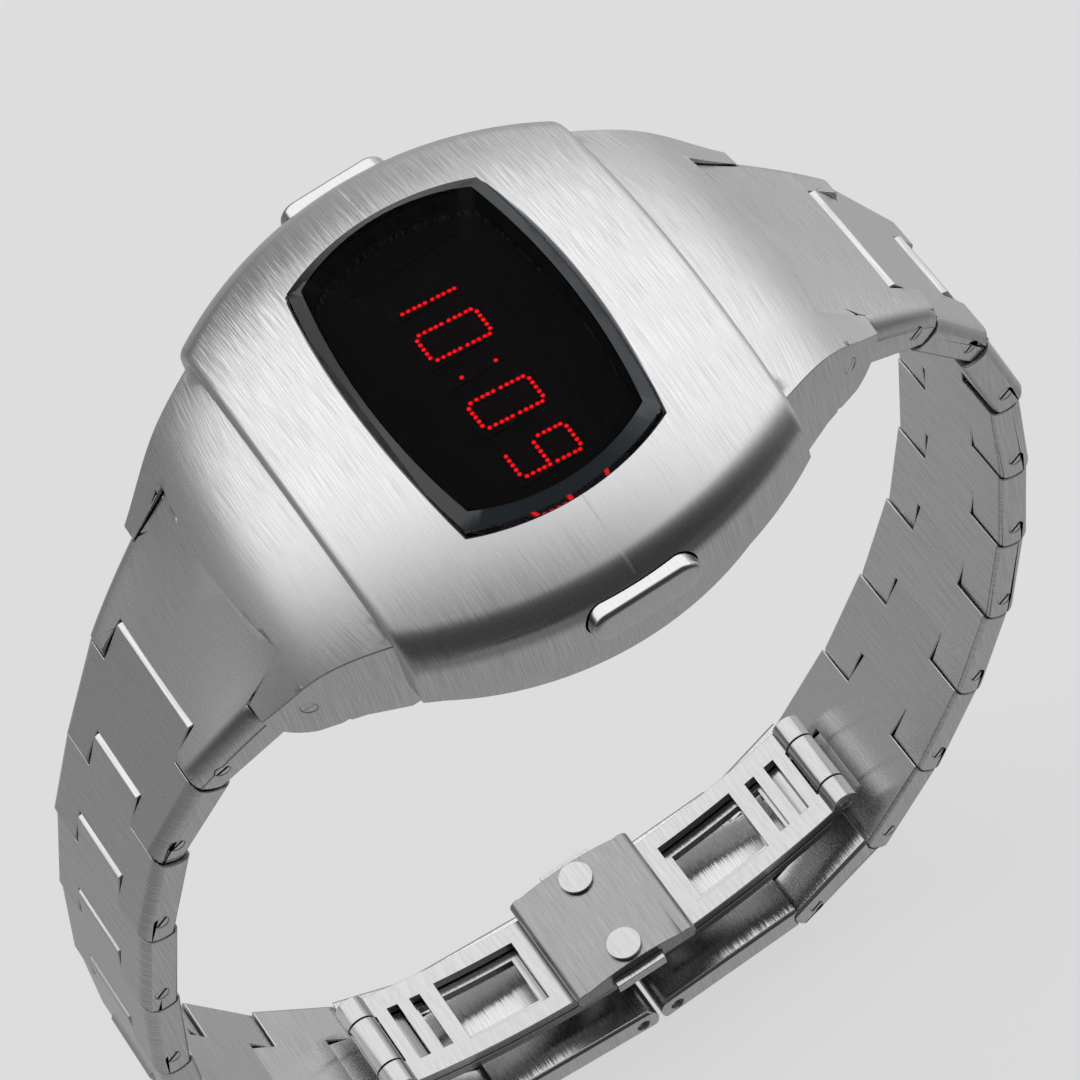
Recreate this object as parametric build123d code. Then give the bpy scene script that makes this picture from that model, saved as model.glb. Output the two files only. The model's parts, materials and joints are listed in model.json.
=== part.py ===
from build123d import *
import math
import os

# LED wristwatch with a cushion case and a tapered link bracelet closed by a folding clasp.
# Frame: +X points to 3 o'clock, +Y to 12 o'clock, +Z out of the display.
# The origin is the centre of the case back's flat rear face, which rests on the wrist.
# All lengths are millimetres and all angles are degrees.

os.makedirs("parts", exist_ok=True)

# Running and seating gaps
overrun = 5.0
seat_gap = 0.05
running_gap = 0.05
side_gap = 0.10
knuckle_gap = 0.12

# Cushion case, seen from the front: straight 12 and 6 edges, bulging 3 and 9 sides
case_corner_x = 15.7
case_corner_y = 15.2
case_side_bulge = 4.4
case_end_bulge = 0.25
dome_radius = 50.0
dome_apex_z = 14.05
shell_foot_z = 3.8
shell_wall = 1.3
shell_side_fillet = 2.0
shell_end_fillet = 0.8

# Crystal with a bevelled rim, its gasket and the ledge that carries both
crystal_corner_x = 11.7
crystal_corner_y = 7.55
crystal_side_bulge = 1.9
crystal_end_bulge = 1.1
crystal_top_z = 13.1
crystal_thickness = 2.1
crystal_bevel_width = 0.8
crystal_bevel_height = 0.55
crystal_gap = 0.08
gasket_thickness = 0.4
ledge_width = 1.1
ledge_thickness = 0.8

# Case middle and the space for the module
back_face_z = 1.0
cavity_side_wall = 1.1
cavity_end_wall = 5.0
cavity_corner_radius = 2.0
hood_start_y = 11.0
hood_root_half_width = 13.85
hood_end_half_width = 9.8
hood_end_y = 24.0
hood_crown_axis_z = -34.0
hood_step = 0.8
hood_heading = 40.0

# Case back, its gasket and screws
back_inset = 1.5
back_boss_height = 0.7
back_edge_chamfer = 0.4
back_gasket_width = 0.6
back_gasket_height = 0.45
back_gasket_offset = 0.3
screw_wall = 0.3
screw_y = 4.8
screw_head_radius = 1.0
screw_head_height = 0.5
screw_shank_radius = 0.6
screw_length = 3.4
screw_slot_width = 0.3
screw_slot_depth = 0.25

# Module: cell, frame, board, display carrier and mask
cell_radius = 8.0
cell_height = 3.2
cell_rim_step = 0.5
cell_cap_height = 0.5
cell_gap = 0.15
module_floor_gap = 0.1
module_gap = 0.2
board_thickness = 0.6
carrier_side_margin = 1.5
carrier_end_margin = 3.9
carrier_thickness = 0.8
carrier_rail_width = 1.2
digit_plane_z = 9.9
die_half_x = 1.6
die_half_y = 2.5
die_height = 0.25
die_pitch = 4.7
colon_half_x = 0.3
mask_thickness = 0.35
mask_window_half_x = 10.2
mask_window_half_y = 4.4
chip_half_size = 3.0
chip_height = 0.7
chip_x = 5.5
quartz_radius = 1.0
quartz_length = 6.2
quartz_inset = 2.3
strap_width = 3.0
strap_thickness = 0.2

# Pushers on the 3 and 9 sides
pusher_z = 7.6
pusher_half_length = 4.2
pusher_radius = 1.45
pusher_proud = 0.7
pusher_travel = 0.8
pusher_pocket_gap = 0.12
pusher_cap_thickness = 1.7
pusher_face_fillet = 0.4
pusher_stem_radius = 1.0
pusher_clip_radius = 1.6
pusher_clip_thickness = 0.3
seal_radius = 0.35
seal_wall = 1.8
contact_thickness = 0.15
contact_width = 1.8
contact_height = 2.2

# Bracelet: the first pin on the 12 side, then link lengths and headings, both sides alike or not
first_pin_y = 21.4
first_pin_z = 3.3
pin_radius = 0.55
pin_recess = 0.35
first_link_length = 8.7
second_link_length = 8.4
third_link_length = 8.2
link_length = 8.6
upper_headings_12 = (42.0, 59.0, 76.0)
lower_headings_12 = (91.0, 97.0, 104.0, 114.0, 122.0, 131.0, 151.0)
upper_headings_6 = (41.0, 54.5, 65.5)
lower_headings_6 = (74.0, 80.0, 87.0, 103.0, 119.0, 133.0, 150.0)
first_half_thickness = 2.6
second_half_thickness = 1.6
link_half_thickness = 1.35
first_knuckle_radius = 3.1
second_knuckle_radius = 2.2
knuckle_radius = 1.95
first_half_width = 9.8
second_half_width = 8.0
link_half_width = 6.85
first_tongue_half = 7.9
second_tongue_half = 5.05
tongue_half = 3.05
first_side_chamfer = 0.9
second_side_chamfer = 0.7
side_chamfer = 0.55
inner_side_chamfer = 0.25

# Folding clasp: curved base plate, centre block, two blades, hinge pins and push buttons
clasp_centre_y = -5.3
clasp_pin_offset = 1.6
clasp_pin_z = -70.0
open_pivot_link = 8
clasp_end_knuckle_radius = 1.45
clasp_notch_depth = 2.3
clasp_hinge_offset = 20.5
clasp_curve_radius = 57.0
clasp_base_z = -65.5
clasp_half_width = 4.4
plate_thickness = 0.9
blade_drop = 1.1
barrel_radius = 1.2
hinge_pin_radius = 0.5
blade_knuckle_half = 2.2
blade_barrel_radius = 1.25
blade_barrel_half = 2.9
blade_web_offset = 2.4
base_window_half_x = 2.9
base_window_start = 6.9
base_window_end = 13.9
base_slot_count = 2
base_slot_half_x = 2.6
base_slot_width = 0.9
base_slot_first = 15.3
base_slot_pitch = 1.9
blade_window_half_x = 2.1
blade_window_start = 7.6
blade_window_end = 16.0
block_half_x = 5.2
block_half_y = 5.3
block_top_z = -62.8
block_wall = 0.9
block_crown_radius = 16.0
bar_radius = 0.75
bar_centre_inset = 0.55
rivet_x = 3.6
rivet_head_radius = 1.4
rivet_head_height = 0.35
rivet_shank_radius = 0.5
button_half_y = 2.2
button_half_z = 0.5
button_proud = 0.75
button_travel = 0.5
button_length = 2.1


def save(node, *solids):
    """Write one node, whether it holds one solid or a group of separate ones."""
    shape = solids[0] if len(solids) == 1 else Compound(list(solids))
    export_step(shape, f"parts/{node}.step")


def pillow(corner_x, corner_y, side_bulge, end_bulge):
    """Face with four bulging sides and sharp corners, on the XY plane."""
    corners = [(-corner_x, -corner_y), (corner_x, -corner_y), (corner_x, corner_y), (-corner_x, corner_y)]
    middles = [(0, -corner_y - end_bulge), (corner_x + side_bulge, 0),
               (0, corner_y + end_bulge), (-corner_x - side_bulge, 0)]
    arcs = [ThreePointArc(corners[i], middles[i], corners[(i + 1) % len(corners)]) for i in range(len(corners))]
    return make_face(arcs)


def prism(face, low_z, high_z):
    """Solid that stands on low_z and reaches high_z over a face on the XY plane."""
    return Pos(0, 0, low_z) * extrude(face, high_z - low_z)


def bar_x(radius, low_x, high_x, y, z):
    """Round bar along X between two places."""
    bar = Cylinder(radius, high_x - low_x, align=(Align.CENTER, Align.CENTER, Align.MIN))
    return Pos(low_x, y, z) * Rot(0, 90, 0) * bar


def side_profile(points):
    """Face on the YZ plane through the given (y, z) corners."""
    return make_face(Plane.YZ * Polyline(*points, close=True))


def slab_x(face, half_width):
    """Side profile made as wide as twice half_width, centred on X zero."""
    return extrude(face, half_width, both=True)


def mirrored(shape):
    """The same piece on the 6 o'clock side."""
    return mirror(shape, about=Plane.XZ)


def turned(shape):
    """The same piece on the 9 o'clock side."""
    return mirror(shape, about=Plane.YZ)


# Case

cavity_half_x = case_corner_x - cavity_side_wall
cavity_half_y = case_corner_y - cavity_end_wall
screw_x = cavity_half_x + back_gasket_offset + back_gasket_width + screw_wall + screw_shank_radius
seal_seat_x = cavity_half_x + seal_wall


def shell_outer():
    """Domed cushion before it is hollowed: soft folds at the sides, crisp ones at the ends."""
    outline = pillow(case_corner_x, case_corner_y, case_side_bulge, case_end_bulge)
    body = prism(outline, shell_foot_z, dome_apex_z)
    dome = Pos(0, 0, dome_apex_z - dome_radius) * Rot(0, 90, 0) * Sphere(dome_radius)
    body = body & dome
    rim = [e for e in body.edges() if e.center().Z > shell_foot_z + shell_wall and e.length > case_corner_y]
    body = fillet([e for e in rim if abs(e.center().X) > case_corner_x], shell_side_fillet)
    ends = [e for e in body.edges()
            if e.center().Z > shell_foot_z + shell_wall and abs(e.center().Y) > case_corner_y - shell_wall
            and e.length > case_corner_y]
    return fillet(ends, shell_end_fillet)


def hood(grown):
    """Hooded lug at 12 o'clock with a crowned top, grown all round for cutting the shell."""
    dome_z = dome_apex_z - dome_radius + math.sqrt(dome_radius**2 - case_corner_y**2)
    step_z = dome_z - hood_step
    end_rise = first_half_thickness * math.cos(math.radians(hood_heading))
    end_run = first_half_thickness * math.sin(math.radians(hood_heading))
    reach = (hood_end_y - case_corner_y) / 2
    fall = (step_z - first_pin_z - end_rise) / 2
    top = [(hood_start_y, step_z + fall / 2 + grown),
           (case_corner_y, step_z + grown),
           (case_corner_y + reach, step_z - fall * math.cos(math.radians(hood_heading)) + grown),
           (first_pin_y + end_run, first_pin_z + end_rise + grown),
           (hood_end_y + reach, first_pin_z - end_rise + grown)]
    crest = Spline(*top)
    closing = Polyline(top[-1], (top[-1][0], -overrun), (hood_start_y, -overrun), top[0])
    region = make_face(Plane.YZ * (crest + closing))
    axis = Axis((0, 0, hood_crown_axis_z), (0, 1, 0))
    sweep_angle = 2 * math.degrees(math.asin((hood_root_half_width + overrun / 2) / (step_z - hood_crown_axis_z)))
    crowned = revolve(region.rotate(axis, -sweep_angle / 2), axis, sweep_angle)
    underside = side_profile([(hood_start_y, back_face_z - grown),
                              (first_pin_y - first_knuckle_radius, back_face_z - grown),
                              (first_pin_y, first_pin_z - first_knuckle_radius - grown),
                              (hood_end_y + overrun, first_pin_z - first_knuckle_radius - grown),
                              (hood_end_y + overrun, dome_apex_z),
                              (hood_start_y, dome_apex_z)])
    slope = (hood_root_half_width - hood_end_half_width) / (hood_end_y - case_corner_y)
    root = hood_root_half_width + slope * (case_corner_y - hood_start_y)
    tip = hood_end_half_width - slope * overrun
    taper = make_face(Polyline((-root - grown, hood_start_y), (root + grown, hood_start_y),
                               (tip + grown, hood_end_y + overrun), (-tip - grown, hood_end_y + overrun),
                               close=True))
    return crowned & slab_x(underside, hood_root_half_width + overrun) & prism(taper, -overrun, dome_apex_z)


def first_pin_place():
    """Frame at the hood's pin: local Y runs along the hood, local Z out of it."""
    return Pos(0, first_pin_y, first_pin_z) * Rot(-hood_heading, 0, 0)


def hood_with_ears():
    """Hood whose end is rounded about the pin and notched for the first link's tongue."""
    body = hood(0)
    beyond = Box(2 * (hood_root_half_width + overrun), 2 * overrun, 4 * overrun,
                 align=(Align.CENTER, Align.MIN, Align.CENTER))
    wide = hood_root_half_width + overrun
    body = body - first_pin_place() * (beyond - bar_x(first_knuckle_radius, -wide, wide, 0, 0))
    notch_half = first_tongue_half + side_gap
    notch = Box(2 * notch_half, 2 * overrun, 4 * overrun, align=(Align.CENTER, Align.MIN, Align.CENTER))
    notch = notch + bar_x(first_knuckle_radius + knuckle_gap, -notch_half, notch_half, 0, 0)
    body = body - first_pin_place() * notch
    return body - bar_x(pin_radius, -wide, wide, first_pin_y, first_pin_z)


def core_outline(grown):
    """Outline of the case middle inside the shell's wall."""
    return pillow(case_corner_x - shell_wall + grown, case_corner_y - shell_wall + grown,
                  case_side_bulge, case_end_bulge)


ledge_top_z = crystal_top_z - crystal_thickness - gasket_thickness
ledge_bottom_z = ledge_top_z - ledge_thickness
core_top_z = ledge_bottom_z - seat_gap
wall_middle_x = case_corner_x + case_side_bulge
pusher_face_x = wall_middle_x + pusher_proud
pusher_back_x = pusher_face_x - pusher_cap_thickness
pocket_floor_x = pusher_back_x - pusher_travel - pusher_pocket_gap


def pill(grown):
    """Pill outline of a pusher on the YZ plane, centred on its stem."""
    straight = 2 * (pusher_half_length - pusher_radius)
    slot = SlotCenterToCenter(straight, 2 * (pusher_radius + grown))
    return Plane.YZ * slot


def pusher_hollow():
    """Pocket for the pusher's cap and the bore for its stem, on the 3 side."""
    pocket = Pos(pocket_floor_x, 0, pusher_z) * extrude(pill(pusher_pocket_gap), overrun)
    stem = bar_x(pusher_stem_radius + running_gap, cavity_half_x - overrun, wall_middle_x, 0, pusher_z)
    return pocket + stem


def front_shell():
    """Domed cover: cut for the case middle, the hoods, the crystal, its ledge and the pushers."""
    body = shell_outer()
    body = body - prism(core_outline(seat_gap), shell_foot_z - overrun, ledge_bottom_z)
    lug = hood(seat_gap)
    body = body - lug - mirrored(lug)
    seat = pillow(crystal_corner_x + crystal_gap, crystal_corner_y + crystal_gap,
                  crystal_side_bulge, crystal_end_bulge)
    body = body - prism(seat, ledge_top_z, dome_apex_z + overrun)
    window = pillow(crystal_corner_x - ledge_width, crystal_corner_y - ledge_width,
                    crystal_side_bulge, crystal_end_bulge)
    body = body - prism(window, ledge_bottom_z - overrun, ledge_top_z + overrun)
    hollow = pusher_hollow()
    return body - hollow - turned(hollow)


def case_middle():
    """Inner case with both hoods, open for the module and closed behind by the case back."""
    body = prism(core_outline(0), back_face_z, core_top_z)
    lug = hood_with_ears()
    body = body + lug + mirrored(lug)
    cavity = RectangleRounded(2 * cavity_half_x, 2 * cavity_half_y, cavity_corner_radius)
    body = body - prism(cavity, back_face_z - overrun, core_top_z + overrun)
    body = body - gasket_ring(back_gasket_width, back_face_z - overrun, back_face_z + back_gasket_height)
    for x in (-screw_x, screw_x):
        for y in (-screw_y, screw_y):
            hole = Cylinder(screw_shank_radius, screw_length, align=(Align.CENTER, Align.CENTER, Align.MIN))
            body = body - Pos(x, y, back_face_z) * hole
    hollow = pusher_hollow()
    for side in (hollow, turned(hollow)):
        body = body - side
    groove_radius = pusher_stem_radius + 2 * (seal_radius + running_gap)
    groove_reach = seal_radius + running_gap
    groove = bar_x(groove_radius, seal_seat_x - groove_reach, seal_seat_x + groove_reach, 0, pusher_z)
    return body - groove - turned(groove)


def gasket_ring(width, low_z, high_z):
    """Ring that follows the module space in the rear face."""
    inner_x = cavity_half_x + back_gasket_offset
    inner_y = cavity_half_y + back_gasket_offset
    inner_radius = cavity_corner_radius + back_gasket_offset
    inner = RectangleRounded(2 * inner_x, 2 * inner_y, inner_radius)
    outer = RectangleRounded(2 * (inner_x + width), 2 * (inner_y + width), inner_radius + width)
    return prism(outer - inner, low_z, high_z)


def crystal():
    """Pillow-shaped crystal with a flat bevel round its front."""
    outline = pillow(crystal_corner_x, crystal_corner_y, crystal_side_bulge, crystal_end_bulge)
    body = prism(outline, crystal_top_z - crystal_thickness, crystal_top_z)
    front = body.faces().sort_by(Axis.Z)[-1].edges()
    return chamfer(front, crystal_bevel_height, crystal_bevel_width)


def crystal_gasket():
    """Flat ring under the crystal's edge."""
    outline = pillow(crystal_corner_x, crystal_corner_y, crystal_side_bulge, crystal_end_bulge)
    window = pillow(crystal_corner_x - ledge_width, crystal_corner_y - ledge_width,
                    crystal_side_bulge, crystal_end_bulge)
    return prism(outline - window, ledge_top_z, ledge_top_z + gasket_thickness)


def case_back():
    """Rear plate with a boss that enters the module space."""
    outline = pillow(case_corner_x - back_inset, case_corner_y - back_inset, case_side_bulge, case_end_bulge)
    body = prism(outline, 0, back_face_z)
    body = chamfer(body.faces().sort_by(Axis.Z)[0].edges(), back_edge_chamfer)
    boss = RectangleRounded(2 * (cavity_half_x - side_gap), 2 * (cavity_half_y - side_gap),
                            cavity_corner_radius - side_gap)
    body = body + prism(boss, back_face_z, back_face_z + back_boss_height)
    return body - Compound([screw_space(x, y) for x in (-screw_x, screw_x) for y in (-screw_y, screw_y)])


def screw_space(x, y):
    """Counterbored hole for one case back screw."""
    head = Cylinder(screw_head_radius, screw_head_height, align=(Align.CENTER, Align.CENTER, Align.MIN))
    shank = Cylinder(screw_shank_radius, screw_length, align=(Align.CENTER, Align.CENTER, Align.MIN))
    return Pos(x, y, 0) * (head + shank)


def case_screw(x, y):
    """Slotted cheese-head screw, flush with the rear face."""
    body = screw_space(x, y)
    slot = Box(2 * screw_head_radius, screw_slot_width, screw_slot_depth,
               align=(Align.CENTER, Align.CENTER, Align.MIN))
    return body - Pos(x, y, 0) * slot


def pusher():
    """Pill-shaped cap on a round stem, on the 3 side."""
    cap = Pos(pusher_back_x, 0, pusher_z) * extrude(pill(0), pusher_cap_thickness)
    cap = fillet(cap.faces().sort_by(Axis.X)[-1].edges(), pusher_face_fillet)
    stem_end = cavity_half_x - pusher_clip_thickness - seat_gap
    return cap + bar_x(pusher_stem_radius, stem_end, pusher_back_x, 0, pusher_z)


def pusher_clip():
    """Ring on the stem's inner end that stops the pusher at rest."""
    outer_end = cavity_half_x - seat_gap
    ring = bar_x(pusher_clip_radius, outer_end - pusher_clip_thickness, outer_end, 0, pusher_z)
    return ring - bar_x(pusher_stem_radius, cavity_half_x - overrun, cavity_half_x + overrun, 0, pusher_z)


def pusher_seal():
    """Rubber ring in the groove round the stem."""
    ring = Torus(pusher_stem_radius + running_gap + seal_radius, seal_radius)
    return Pos(seal_seat_x, 0, pusher_z) * Rot(0, 90, 0) * ring


# Module

module_floor_z = back_face_z + back_boss_height + module_floor_gap
quartz_x = cavity_half_x - quartz_inset
board_bottom_z = module_floor_z + cell_height + strap_thickness + module_gap
board_top_z = board_bottom_z + board_thickness
outer_die_x = colon_half_x + 2 * die_pitch - die_half_x
carrier_half_x = outer_die_x + die_half_x + carrier_side_margin
carrier_half_y = die_half_y + carrier_end_margin
carrier_top_z = digit_plane_z - die_height
carrier_bottom_z = carrier_top_z - carrier_thickness


def cell():
    """Coin cell: a wide can and a slightly narrower cap."""
    can = Cylinder(cell_radius, cell_height - cell_cap_height, align=(Align.CENTER, Align.CENTER, Align.MIN))
    cap = Cylinder(cell_radius - cell_rim_step, cell_cap_height, align=(Align.CENTER, Align.CENTER, Align.MIN))
    return Pos(0, 0, module_floor_z) * (can + Pos(0, 0, cell_height - cell_cap_height) * cap)


def module_frame():
    """Plastic frame round the cell, with a trough for the quartz can."""
    half_x = cavity_half_x - module_gap
    half_y = cavity_half_y - module_gap
    outline = RectangleRounded(2 * half_x, 2 * half_y, cavity_corner_radius)
    ring = outline - Circle(cell_radius + cell_gap)
    body = prism(ring, module_floor_z, board_bottom_z)
    trough = Box(2 * (quartz_radius + cell_gap), quartz_length + 2 * cell_gap, overrun,
                 align=(Align.CENTER, Align.CENTER, Align.MIN))
    return body - Pos(quartz_x, 0, board_bottom_z - 2 * (quartz_radius + cell_gap)) * trough


def quartz_can():
    """Small round can under the board."""
    can = Rot(90, 0, 0) * Cylinder(quartz_radius, quartz_length)
    return Pos(quartz_x, 0, board_bottom_z - quartz_radius - cell_gap / 2) * can


def cell_strap():
    """Flat spring contact across the top of the cell."""
    strip = Box(2 * cell_radius, strap_width, strap_thickness, align=(Align.CENTER, Align.CENTER, Align.MIN))
    return Pos(0, 0, module_floor_z + cell_height + module_gap / 2) * strip


def circuit_board():
    """Board that carries the driver and the display carrier."""
    half_x = cavity_half_x - module_gap - pusher_clip_thickness - pusher_travel
    half_y = cavity_half_y - module_gap
    outline = RectangleRounded(2 * half_x, 2 * half_y, cavity_corner_radius)
    return prism(outline, board_bottom_z, board_top_z)


def driver_chip():
    """Square driver on the board, beneath the display carrier."""
    chip = Box(2 * chip_half_size, 2 * chip_half_size, chip_height,
               align=(Align.CENTER, Align.CENTER, Align.MIN))
    return Pos(chip_x, 0, board_top_z) * chip


def display_carrier():
    """Ceramic plate for the digits, on a rail at each end."""
    plate = prism(Rectangle(2 * carrier_half_x, 2 * carrier_half_y), carrier_bottom_z, carrier_top_z)
    rail = Rectangle(carrier_rail_width, 2 * carrier_half_y)
    rail_x = carrier_half_x - carrier_rail_width / 2
    for x in (-rail_x, rail_x):
        plate = plate + Pos(x, 0, 0) * prism(rail, board_top_z, carrier_bottom_z)
    return plate


def digit_dies():
    """Four digit dies and the narrow colon die between them."""
    dies = []
    inner_die_x = outer_die_x - die_pitch
    for x in (-outer_die_x, -inner_die_x, inner_die_x, outer_die_x):
        dies.append(Pos(x, 0, 0) * prism(Rectangle(2 * die_half_x, 2 * die_half_y), carrier_top_z, digit_plane_z))
    dies.append(prism(Rectangle(2 * colon_half_x, 2 * die_half_y), carrier_top_z, digit_plane_z))
    return dies


def display_mask():
    """Thin dark frame between the digits and the crystal."""
    outline = pillow(crystal_corner_x - ledge_width - seat_gap, crystal_corner_y - ledge_width - seat_gap,
                     crystal_side_bulge, crystal_end_bulge)
    window = Rectangle(2 * mask_window_half_x, 2 * mask_window_half_y)
    return prism(outline - window, ledge_bottom_z, ledge_bottom_z + mask_thickness)


def switch_leaf():
    """Upright contact leaf on the board, just inside the stem."""
    leaf_x = cavity_half_x - pusher_clip_thickness - seat_gap - pusher_travel - contact_thickness
    leaf = Box(contact_thickness, contact_width, pusher_z - board_top_z + contact_height / 2,
               align=(Align.CENTER, Align.CENTER, Align.MIN))
    return Pos(leaf_x - side_gap, 0, board_top_z) * leaf


# Bracelet

def link_lengths():
    """Pin to pin lengths of the links whose headings are given."""
    return (first_link_length, second_link_length, third_link_length)


def route(upper_headings, lower_headings, end_y):
    """Pin places (y, z) in 12-side coordinates, from the hood to the clasp."""
    y = first_pin_y
    z = first_pin_z
    places = [(y, z)]
    runs = list(zip(upper_headings, link_lengths())) + [(heading, link_length) for heading in lower_headings]
    for heading, length in runs:
        y = y + length * math.cos(math.radians(heading))
        z = z - length * math.sin(math.radians(heading))
        places.append((y, z))
    places.append((end_y, clasp_pin_z))
    return places


def shared(index, first, second, rest):
    """Value for a joint or link by its number, counted from the hood."""
    return (first, second)[index] if index < 2 else rest


def link_body(index, length, is_last):
    """One link in its own frame: local Y runs from pin to pin, local Z is its outer face."""
    start_half = shared(index, first_half_thickness, second_half_thickness, link_half_thickness)
    end_half = shared(index + 1, first_half_thickness, second_half_thickness, link_half_thickness)
    start_radius = shared(index, first_knuckle_radius, second_knuckle_radius, knuckle_radius)
    end_radius = shared(index + 1, first_knuckle_radius, second_knuckle_radius, knuckle_radius)
    end_radius = clasp_end_knuckle_radius if is_last else end_radius
    start_width = shared(index, first_half_width, second_half_width, link_half_width)
    end_width = shared(index + 1, first_half_width, second_half_width, link_half_width)
    tongue = shared(index, first_tongue_half, second_tongue_half, tongue_half)
    next_tongue = shared(index + 1, first_tongue_half, second_tongue_half, tongue_half)
    bevel = shared(index, first_side_chamfer, second_side_chamfer, side_chamfer)
    start_run = math.sqrt(start_radius**2 - start_half**2)
    end_run = math.sqrt(end_radius**2 - end_half**2)

    outline = [Plane.YZ * edge for edge in (
        Line((-start_run, start_half), (length + end_run, end_half)),
        ThreePointArc((length + end_run, end_half), (length + end_radius, 0), (length + end_run, -end_half)),
        Line((length + end_run, -end_half), (-start_run, -start_half)),
        ThreePointArc((-start_run, -start_half), (-start_radius, 0), (-start_run, start_half)))]
    body = slab_x(make_face(outline), start_width + overrun)
    flare = (start_width - end_width) / length
    near = start_width + flare * start_radius
    far = end_width - flare * end_radius
    plan = make_face(Polyline((-near, -start_radius), (near, -start_radius),
                              (far, length + end_radius), (-far, length + end_radius), close=True))
    body = body & prism(plan, -start_radius - overrun, start_radius + overrun)
    long_edges = [e for e in body.edges()
                  if abs(e.center().X) > far - bevel and e.length > length / 2 and e.geom_type == GeomType.LINE]
    body = chamfer([e for e in long_edges if e.center().Z > 0], bevel)
    long_edges = [e for e in body.edges()
                  if abs(e.center().X) > far - bevel and e.length > length / 2 and e.center().Z < -end_half / 2
                  and e.geom_type == GeomType.LINE]
    body = chamfer(long_edges, inner_side_chamfer)

    shoulder = shoulder_cut(start_radius, tongue, start_width + overrun)
    body = body - shoulder - turned(shoulder)
    notch_half = next_tongue + side_gap
    notch_start = length - clasp_notch_depth if is_last else length
    notch = Pos(0, notch_start, 0) * Box(2 * notch_half, 2 * overrun, 4 * overrun,
                                         align=(Align.CENTER, Align.MIN, Align.CENTER))
    if not is_last:
        notch = notch + bar_x(end_radius + knuckle_gap, -notch_half, notch_half, length, 0)
    body = body - notch
    body = body - bar_x(pin_radius + running_gap, -start_width, start_width, 0, 0)
    return body - bar_x(pin_radius, -start_width, start_width, length, 0)


def shoulder_cut(radius, tongue, reach):
    """Space beside the tongue for one ear of the link before it."""
    block = Pos(tongue, 0, 0) * Box(reach - tongue, radius + overrun, 2 * (radius + overrun),
                                    align=(Align.MIN, Align.MAX, Align.CENTER))
    return block + bar_x(radius + knuckle_gap, tongue, reach, 0, 0)


def link_pin(index, length):
    """Pin held in the link's own ears, short of both faces."""
    half = shared(index + 1, first_half_width, second_half_width, link_half_width) - pin_recess
    return bar_x(pin_radius, -half, half, length, 0)


def drawn_in_pin():
    """Pin of the one pivot that is opened, drawn into the tongue of the link that keeps it."""
    return bar_x(pin_radius, -tongue_half + seat_gap, tongue_half - seat_gap, 0, 0)


def placed(shape, start, end):
    """Move a link from its own frame to its place between two pins."""
    heading = math.degrees(math.atan2(start[1] - end[1], end[0] - start[0]))
    return Pos(0, start[0], start[1]) * Rot(-heading, 0, 0) * shape


def chain(name, places, open_pivot, onto_side):
    """All links of one side, one node each, with the pin in its own far end unless that pivot is open."""
    made = {}
    for i in range(len(places) - 1):
        length = math.dist(places[i], places[i + 1])
        is_last = i == len(places) - 2
        solids = [link_body(i, length, is_last)]
        if i + 1 != open_pivot:
            solids.append(link_pin(i, length))
        if i == open_pivot:
            solids.append(drawn_in_pin())
        made[f"{name}_{i + 1:02d}"] = [onto_side(placed(solid, places[i], places[i + 1])) for solid in solids]
    return made


# Clasp

def clasp_arc_z(offset, drop):
    """Height of the clasp's curve at a distance from its centre."""
    radius = clasp_curve_radius + drop
    return clasp_base_z + clasp_curve_radius - math.sqrt(radius**2 - offset**2)


def curved_plate(low_offset, high_offset, half_width, drop):
    """Piece of sheet that follows the wrist, between two distances from the clasp's centre."""
    low, middle, high = [(offset, clasp_arc_z(offset, drop - plate_thickness / 2),
                          clasp_arc_z(offset, drop + plate_thickness / 2))
                         for offset in (low_offset, (low_offset + high_offset) / 2, high_offset)]
    wrist_side = ThreePointArc(low[:2], middle[:2], high[:2])
    outer_side = ThreePointArc(high[::2], middle[::2], low[::2])
    outline = [wrist_side, Line(high[:2], high[::2]), outer_side, Line(low[::2], low[:2])]
    sheet = make_face([Plane.YZ * edge for edge in outline])
    return Pos(0, clasp_centre_y, 0) * slab_x(sheet, half_width)


def window_cut(start, end, half_x):
    """Straight way through the sheet between two distances from the centre."""
    cut = Box(2 * half_x, end - start, 4 * overrun, align=(Align.CENTER, Align.MIN, Align.CENTER))
    return Pos(0, clasp_centre_y + start, clasp_base_z) * cut


clasp_hinge_z = clasp_arc_z(clasp_hinge_offset, 0)


def other_end(shape):
    """The same piece on the other half of the clasp."""
    plane = Plane(origin=(0, clasp_centre_y, 0), z_dir=(0, 1, 0))
    return mirror(shape, about=plane)


def base_openings():
    """Window, cross slots and the middle hinge knuckle's room in one half of the base."""
    cuts = [window_cut(base_window_start, base_window_end, base_window_half_x)]
    for i in range(base_slot_count):
        start = base_slot_first + i * base_slot_pitch
        cuts.append(window_cut(start, start + base_slot_width, base_slot_half_x))
    hinge_y = clasp_centre_y + clasp_hinge_offset
    cuts.append(bar_x(barrel_radius + knuckle_gap, -blade_knuckle_half - side_gap, blade_knuckle_half + side_gap,
                      hinge_y, clasp_hinge_z))
    cuts.append(bar_x(hinge_pin_radius, -clasp_half_width, clasp_half_width, hinge_y, clasp_hinge_z))
    return cuts


def clasp_base():
    """Curved base plate of the clasp, with a hinge barrel at each end and two rivet holes."""
    barrel = bar_x(barrel_radius, -clasp_half_width, clasp_half_width,
                   clasp_centre_y + clasp_hinge_offset, clasp_hinge_z)
    body = curved_plate(-clasp_hinge_offset, clasp_hinge_offset, clasp_half_width, 0)
    body = body + barrel + other_end(barrel)
    for cut in base_openings():
        body = body - cut - other_end(cut)
    for x in (-rivet_x, rivet_x):
        hole = Cylinder(rivet_shank_radius, 2 * overrun)
        body = body - Pos(x, clasp_centre_y, clasp_base_z) * hole
    return body


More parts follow.
